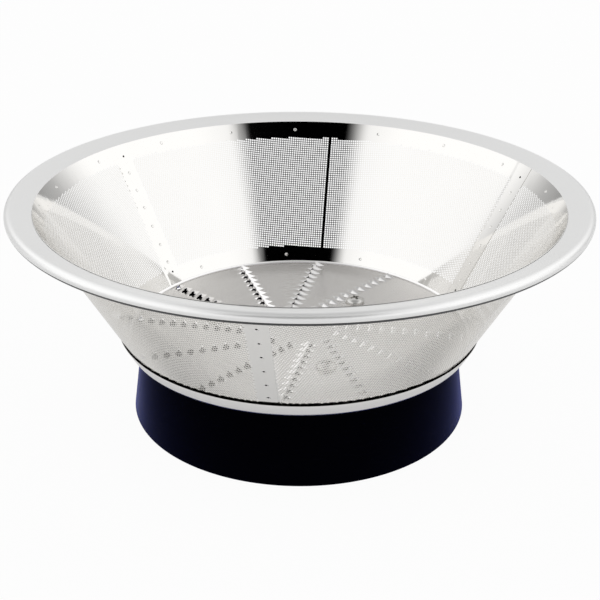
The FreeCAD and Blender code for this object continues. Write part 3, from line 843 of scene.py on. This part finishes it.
class BASKET_OT_toothed_disc(Operator):
    """Presses the floor with its rows of open teeth and its upturned edge round the wall"""
    bl_idname = "basket.toothed_disc"
    bl_label = "Toothed disc"

    # Steps across half a tooth and along it, and the share of its depth that is left beyond the base
    across, steps = 9, 6
    shallow = 0.35

    def execute(self, context):
        basket = context.scene.filter_basket
        sizes, screws, cone = basket.disc, basket.screws, Cone(basket.wall)
        self.flat, self.rise, self.push, self.limits, self.slits = [], [], [], [], []
        ring = self.add_loop(rounded(cone.foot_radius - 0.65 * MM, RING_STEPS))
        for spot in screw_spots(screws):
            self.add_loop([(spot[0] + x, spot[1] + y) for x, y in rounded(screws.hole, 32)])
        self.add_teeth(sizes)
        mesh = self.press(sizes, cone, ring, screws, basket.base.top_radius)
        finishes = [spun_steel("satin_disc_steel", sizes.tint, sizes.roughness, 1400.0),
                    spun_steel("drawn_disc_steel", sizes.drawn_tint, sizes.drawn_roughness, 1400.0)]
        add_piece("toothed_disc", mesh, finishes, "disc_steel", "grating_disc")
        return {"FINISHED"}

    def add_point(self, x, y, rise=0.0, push=(0.0, 0.0)):
        """Adds a point of the upper face, with its rise and the push of the lower face beside it."""
        self.flat.append((x, y))
        self.rise.append(rise)
        self.push.append(tuple(push))
        return len(self.flat) - 1

    def add_loop(self, points):
        loop = [self.add_point(x, y) for x, y in points]
        self.limits += list(zip(loop, loop[1:] + loop[:1]))
        return loop

    def half_tooth(self, width, reach, length, height, fall, narrow=0.85, crown=1.35):
        """Points of half a tooth, raised or sunk, from its open front to its tail: side, ahead and rise."""
        rows = []
        for step in range(self.steps):
            left = 1 - step / self.steps
            rows.append([(u * width / 2 * left ** narrow,
                          reach * (1 - abs(u)) * left + length * (1 - left),
                          height * left ** fall * (1 - abs(u) ** crown))
                         for u in np.linspace(-1, 1, self.across)])
        return rows + [[(0.0, length, 0.0)]]

    def add_teeth(self, sizes):
        pitch = (sizes.row_outer - sizes.row_inner) / (sizes.teeth - 1)
        raised = self.half_tooth(sizes.tooth_width, 0.0, -sizes.tooth_length, sizes.tooth_height, fall=1.05)
        sunk = self.half_tooth(sizes.tooth_width, sizes.mouth, sizes.groove, -sizes.groove_depth, fall=2.4)
        for row in range(sizes.rows):
            turn = sizes.first_row + row * FULL_TURN / sizes.rows
            along, aside = Vector((math.cos(turn), math.sin(turn))), Vector((-math.sin(turn), math.cos(turn)))
            for tooth in range(sizes.teeth):
                spot = along * (sizes.row_outer - tooth * pitch) + aside * sizes.row_offset
                self.add_tooth(raised, sunk, spot, along, aside, sizes)

    def add_tooth(self, raised, sunk, spot, along, aside, sizes):
        """Adds a raised half with its ground edge, and the sunk half that shares its two corners."""
        def add(x, y, z, reach=0.0):
            return self.add_point(*(spot + along * x + aside * y), z, aside * reach)

        ground = sizes.tooth_edge / sizes.tooth_height
        front = [add(x, y, z, z * ground) for x, y, z in raised[0]]
        self.add_lattice([front, *([add(*point) for point in row] for row in raised[1:])])
        mouth = [front[0], *(add(*point) for point in sunk[0][1:-1]), front[-1]]
        self.add_lattice([mouth, *([add(*point) for point in row] for row in sunk[1:])])
        self.slits.append([np.array(v) for v in (spot, along, aside)])

    def add_lattice(self, rows):
        """Joins rows of points that end in one point."""
        for row, after in zip(rows, rows[1:]):
            self.limits += list(zip(row, row[1:]))
            self.limits += list(zip(row, after if len(after) > 1 else after * len(row)))

    def press(self, sizes, cone, ring, screws, support):
        """The disc with both its faces, the walls of its openings and its edge."""
        flat, rise = np.array(self.flat), np.array(self.rise)
        # Beyond the base nothing sinks below the sheet
        beyond = (np.hypot(*flat.T) > support) & (rise < 0)
        rise[beyond] *= self.shallow
        faces = fill_flat(flat, self.limits)
        middle = flat[faces].mean(axis=1)
        cut = np.zeros(len(faces), bool)
        for spot, along, aside in self.slits:
            x, y = (middle - spot) @ along, (middle - spot) @ aside
            cut |= (y > 0) & (np.abs(x) < sizes.tooth_width / 2 * (1 - y / sizes.mouth))
        for spot in screw_spots(screws):
            cut |= np.hypot(*(middle - spot).T) < screws.hole
        faces = faces[~cut]
        count = len(flat)
        drawn = np.where(rise > 0, rise / sizes.tooth_height, -rise / sizes.groove_depth)
        skin = sizes.sheet - (sizes.sheet - sizes.tooth_skin) * drawn
        upper = np.column_stack([flat, cone.floor + rise])
        under = np.where(beyond, cone.floor - sizes.sheet, cone.floor + rise - skin)
        lower = np.column_stack([flat + np.array(self.push), under])
        known, outer = set(map(tuple, sides_of(faces).tolist())), set(ring)
        loose = [(a, b) for a, b in known if (b, a) not in known and not (a in outer and b in outer)]
        walls = [(b, a, a + count, b + count) for a, b in loose]
        edge_points, edge_faces = self.edge(sizes, cone, ring, count)
        points = np.vstack([upper, lower, edge_points])
        all_faces = faces.tolist() + (faces[:, ::-1] + count).tolist() + walls + edge_faces
        mesh = build_mesh("toothed_disc", points, all_faces)
        bright = np.ones(len(all_faces), dtype=int)
        bright[:2 * len(faces)] = np.tile((drawn[faces] > 0).any(axis=1), 2)
        mesh.polygons.foreach_set("material_index", bright)
        return mesh

    def edge(self, sizes, cone, ring, count):
        """Rings of points over the disc's edge, from its upper face round to its lower one."""
        top, low = cone.floor + sizes.band, cone.floor - sizes.sheet
        near, out = sizes.gap + sizes.flare, sizes.gap + sizes.sheet
        bend, edge, bevel = 0.5 * MM, 0.15 * MM, 0.07 * MM
        inside = [(cone.radius(cone.floor, sizes.gap) - bend * k, cone.floor + bend * z)
                  for k, z in ((1.0, 0.0), (0.55, 0.08), (0.15, 0.34), (-0.2, 0.7))]
        profile = [
            *inside,
            (cone.radius(cone.floor + 2 * bend, sizes.gap), cone.floor + 2 * bend),
            (cone.radius(top - edge, near), top - edge),
            (cone.radius(top, near + bevel), top),
            (cone.radius(top, out - bevel), top),
            (cone.radius(top - edge, out), top - edge),
            (cone.radius(low + 2.2 * bend, out), low + 2.2 * bend),
            (cone.radius(low + bend, out) - 0.05 * bend, low + bend),
            (cone.radius(low, out) - 0.3 * bend, low + 0.3 * bend),
            (cone.radius(low, out) - bend, low),
        ]
        turns = full_turn(RING_STEPS)
        points = np.vstack([np.column_stack([r * np.cos(turns), r * np.sin(turns), np.full(RING_STEPS, z)])
                            for r, z in profile])
        over = 2 * count + np.arange(len(points)).reshape(-1, RING_STEPS)
        return points, quads_between(np.vstack([ring, over, np.array(ring) + count])).tolist()


class BASKET_OT_screws(Operator):
    """Heads the screws with their cross recesses and sets them in the floor"""
    bl_idname = "basket.screws"
    bl_label = "Screws"

    # Turn of the first recess, and from each to the next, in degrees
    first_twist, twist_step = 25, 40

    def execute(self, context):
        basket = context.scene.filter_basket
        sizes, blank = basket.screws, self.blank(basket.screws)
        shape = bmesh.new()
        for screw, spot in enumerate(screw_spots(sizes)):
            twist = Matrix.Rotation(math.radians(self.first_twist + self.twist_step * screw), 4, SPIN_AXIS)
            shape.from_mesh(moved(blank, Matrix.Translation((*spot, basket.wall.floor)) @ twist))
        mesh = bpy.data.meshes.new("cross_screws")
        shape.to_mesh(mesh)
        shape.free()
        finish = bright_steel("bright_screw_steel", sizes.tint, sizes.roughness)
        add_piece("cross_screws", smooth(mesh), [finish], "screw_steel", "disc_screws")
        return {"FINISHED"}

    def blank(self, sizes):
        side, edge, tip = 0.55 * MM, 0.12 * MM, 1.2 * MM
        dome = [(sizes.head * math.cos(t), side + (sizes.head_height - side) * math.sin(t))
                for t in np.linspace(0, math.pi / 2, 10)]
        end = -sizes.length
        profile = [(0.0, end), (sizes.shank * 0.35, end), (sizes.shank, end + tip), (sizes.shank, 0.0),
                   (sizes.head - edge, 0.0), (sizes.head, edge), *dome]
        head = turned_mesh("screw", profile, 48)
        high, low = sizes.head_height + 0.2 * MM, sizes.head_height - sizes.recess_depth
        upper = self.cross(sizes.recess / 2, sizes.recess_width / 2)
        lower = self.cross(sizes.recess * 0.3, sizes.recess_width * 0.36)
        return carve(head, [prism_mesh("recess", lower, upper, low, high)], "DIFFERENCE")

    def cross(self, far, near):
        return [(far, -near), (far, near), (near, near), (near, far), (-near, far), (-near, near),
                (-far, near), (-far, -near), (-near, -near), (-near, -far), (near, -far), (near, -near)]


class BASKET_OT_base(Operator):
    """Moulds the drive base with its hub, ribs and screw bosses"""
    bl_idname = "basket.base"
    bl_label = "Drive base"

    def execute(self, context):
        basket = context.scene.filter_basket
        sizes, screws = basket.base, basket.screws
        top = basket.wall.floor - basket.disc.sheet
        under = top - sizes.plate
        body = turned_mesh("moulded_base", self.profile(sizes, top, under), BASE_STEPS)
        rib, boss, pad, pilot = self.tools(sizes, top, under)
        spots = [Matrix.Translation((*spot, 0)) for spot in screw_spots(screws)]
        added = [moved(rib, Matrix.Rotation(screws.first + k * FULL_TURN / sizes.ribs, 4, SPIN_AXIS))
                 for k in range(sizes.ribs)]
        added += [moved(tool, spot) for spot in spots for tool in (boss, pad)]
        mesh = carve(carve(body, added, "UNION"), [moved(pilot, spot) for spot in spots], "DIFFERENCE")
        finish = gloss_moulding("black_moulding", sizes.tint, sizes.sheen)
        add_piece("moulded_base", mesh, [finish], "base_plastic", "drive_base")
        return {"FINISHED"}

    def profile(self, sizes, top, under):
        """Section of the skirt, the plate and the hub."""
        inner_top, inner_foot = sizes.top_radius - sizes.wall, sizes.foot_radius - sizes.wall
        round_off, soft = sizes.foot_round, 1.2 * MM
        edge, bevel = 0.4 * MM, 0.1 * MM
        return [
            (0.0, top), (sizes.seat, top), (sizes.seat, top - sizes.hollow),
            (sizes.top_radius - sizes.land, top - sizes.hollow), (sizes.top_radius - sizes.land, top),
            (sizes.top_radius - edge, top), (sizes.top_radius - bevel, top - bevel),
            (sizes.top_radius, top - edge),
            *arc((sizes.foot_radius - round_off, round_off), round_off, 0, -90, 6),
            (inner_foot + 0.3 * MM, 0.0), (inner_foot, 0.3 * MM),
            *arc((inner_top - soft, under - soft), soft, 0, 90, 5),
            *arc((sizes.hub + soft, under - soft), soft, 90, 180, 5),
            (sizes.hub, sizes.hub_foot + edge), (sizes.hub - edge, sizes.hub_foot),
            (sizes.seat, sizes.hub_foot), (sizes.seat, sizes.seat_roof), (0.0, sizes.seat_roof),
        ]

    def tools(self, sizes, top, under):
        """A rib, a boss, the pad above it and its pilot hole, each at the spin axis."""
        near, far, half = sizes.hub - OVERLAP, sizes.top_radius - sizes.wall / 4, sizes.rib_width / 2
        foot, root = ([(near, -w), (far, -w), (far, w), (near, w)] for w in (half * 0.8, half))
        tip = under - sizes.boss_depth
        end, boss = rounded(sizes.boss * 0.94, 40), rounded(sizes.boss, 40)
        land, bore = rounded(sizes.pilot + sizes.land, 40), rounded(sizes.pilot, 32)
        return (prism_mesh("rib", foot, root, under - sizes.rib_depth, under + OVERLAP),
                prism_mesh("boss", end, boss, tip, under + OVERLAP),
                prism_mesh("pad", land, land, under + 0.5 * MM, top),
                prism_mesh("pilot", bore, bore, tip + 2.0 * MM, top + OVERLAP))


class BASKET_OT_bush(Operator):
    """Gives the keyed bush its machined finish"""
    bl_idname = "basket.bush"
    bl_label = "Drive bush"

    def execute(self, context):
        tint = context.scene.filter_basket.base.bush_tint
        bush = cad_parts["drive_bush"]
        bush.data.materials.clear()
        bush.data.materials.append(spun_steel("machined_bush_steel", tint, 0.32, 2200.0))
        return {"FINISHED"}


class BASKET_OT_welds(Operator):
    """Marks the spot welds along the seams, under the rim and above the disc"""
    bl_idname = "basket.welds"
    bl_label = "Spot welds"

    # Heights along a seam and of the near-black marks at its ends, in mm
    seam_heights = (62.2, 56.4, 50.7, 44.5, 38.4, 32.6)
    dark_mark_heights = (67.5, 29.3)
    # Height of a ring of spots, in mm, and its steps from each seam, in degrees
    rings = ((68.5, (-50.4, -33, -13, 8, 28, 47)), (27.6, (-46.8, -13, 16, 45)))
    # Profiles of radius and rise, in mm
    dot = ((0.0, 0.03), (0.2, 0.04), (0.36, 0.09), (0.48, 0.1), (0.62, -0.02), (0.5, -0.09), (0.0, -0.1))
    lip = ((0.34, 0.03), (0.44, 0.09), (0.56, 0.1), (0.7, -0.02), (0.6, -0.09), (0.34, -0.1))
    pit = ((0.0, 0.02), (0.34, 0.03), (0.34, -0.1), (0.0, -0.1))
    mark = ((0.0, 0.06), (0.34, 0.06), (0.44, -0.1), (0.0, -0.1))

    def execute(self, context):
        basket = context.scene.filter_basket
        panels, cone = basket.panels, Cone(basket.wall)
        lapped = -(2 * panels.sheet + panels.gap)
        inner, outer, ends = [], [], []
        for number in range(panels.count):
            seam = math.degrees(panels.first_seam) + number * 360 / panels.count
            inner += [(height, seam, lapped, -1) for height in self.seam_heights]
            outer += [(height, seam, 0.0, 1) for height in self.seam_heights]
            inner += [(height, seam + step, -panels.sheet, -1)
                      for height, steps in self.rings for step in steps]
            ends += [(height, seam - 0.3, lapped, -1) for height in self.dark_mark_heights]
        points, faces, shades = [], [], []
        # Painted shade: the pits in the outer welds' dimples take the near-black finish, as do the marks at
        # the seam ends
        groups = ((self.dot, 0, inner), (self.lip, 0, outer), (self.pit, 1, outer), (self.mark, 1, ends))
        for profile, shade, places in groups:
            for height, turn, outwards, side in places:
                place = (height * MM, math.radians(turn), outwards, side)
                shades += [shade] * self.add_spot(points, faces, profile, cone, *place)
        mesh = build_mesh("spot_welds", points, faces)
        mesh.polygons.foreach_set("material_index", shades)
        finishes = [bright_steel("weld_steel", panels.tint, 0.16),
                    bright_steel("weld_shade_and_mark_steel", panels.weld_shade_and_mark_tint, 0.5)]
        add_piece("spot_welds", tidy_mesh(mesh), finishes, "filter_steel")
        return {"FINISHED"}

    def add_spot(self, points, faces, profile, cone, height, turn, outwards, side, steps=16):
        """Turns a small mark on the wall's face, and returns its number of faces."""
        radial = Vector((math.cos(turn), math.sin(turn), 0))
        normal = radial * cone.cosine - SPIN_AXIS * cone.sine
        across = Vector((-math.sin(turn), math.cos(turn), 0))
        along = normal.cross(across)
        middle = radial * cone.radius(height) + SPIN_AXIS * height + normal * outwards
        rings = len(points) + np.arange(len(profile) * steps).reshape(-1, steps)
        made = quads_between(np.vstack([rings, rings[:1]])).tolist()
        for radius, rise in profile:
            for angle in full_turn(steps):
                out = across * math.cos(angle) + along * math.sin(angle)
                points.append(middle + out * radius * MM + normal * side * rise * MM)
        faces += made
        return len(made)


class BASKET_PT_sidebar(Panel):
    """Lists the basket's pieces and sizes"""
    bl_label = "Filter basket"
    bl_space_type = "VIEW_3D"
    bl_region_type = "UI"
    bl_category = "Basket"

    def draw(self, context):
        for operator in OPERATORS:
            self.layout.operator(operator.bl_idname)
        for name in GROUPS:
            box = self.layout.box()
            box.label(text=name.title())
            group = getattr(context.scene.filter_basket, name)
            for key in group.bl_rna.properties.keys():
                if key not in ("rna_type", "name"):
                    box.prop(group, key)


GROUPS = {"wall": WallSizes, "rim": RimSizes, "panels": PanelSizes, "disc": DiscSizes, "screws": ScrewSizes,
          "base": BaseSizes, "stage": StageSizes}


class BasketSettings(PropertyGroup):
    """Every group of sizes and colours of the basket"""
    wall: PointerProperty(type=WallSizes, name="Wall", description="Sizes of the wall's cone")
    rim: PointerProperty(type=RimSizes, name="Rim", description="Sizes of the rim")
    panels: PointerProperty(type=PanelSizes, name="Panels", description="Sizes of the filter panels")
    disc: PointerProperty(type=DiscSizes, name="Disc", description="Sizes of the grating disc")
    screws: PointerProperty(type=ScrewSizes, name="Screws", description="Sizes of the screws")
    base: PointerProperty(type=BaseSizes, name="Base", description="Sizes of the base and its bush")
    stage: PointerProperty(type=StageSizes, name="Stage", description="Camera, light and floor")


OPERATORS = (BASKET_OT_stage, BASKET_OT_rim, BASKET_OT_filter_panels, BASKET_OT_toothed_disc,
             BASKET_OT_screws, BASKET_OT_base, BASKET_OT_bush, BASKET_OT_welds)
CLASSES = (*GROUPS.values(), BasketSettings, *OPERATORS, BASKET_PT_sidebar)


def register():
    for item in CLASSES:
        bpy.utils.register_class(item)
    bpy.types.Scene.filter_basket = PointerProperty(type=BasketSettings, name="Filter basket",
                                                    description="Sizes and colours of the filter basket")


def unregister():
    del bpy.types.Scene.filter_basket
    for item in reversed(CLASSES):
        bpy.utils.unregister_class(item)


def main():
    register()
    bpy.ops.basket.stage()
    bpy.ops.basket.rim()
    bpy.ops.basket.filter_panels()
    bpy.ops.basket.toothed_disc()
    bpy.ops.basket.screws()
    bpy.ops.basket.base()
    bpy.ops.basket.bush()
    bpy.ops.basket.welds()


if __name__ == "__main__":
    main()
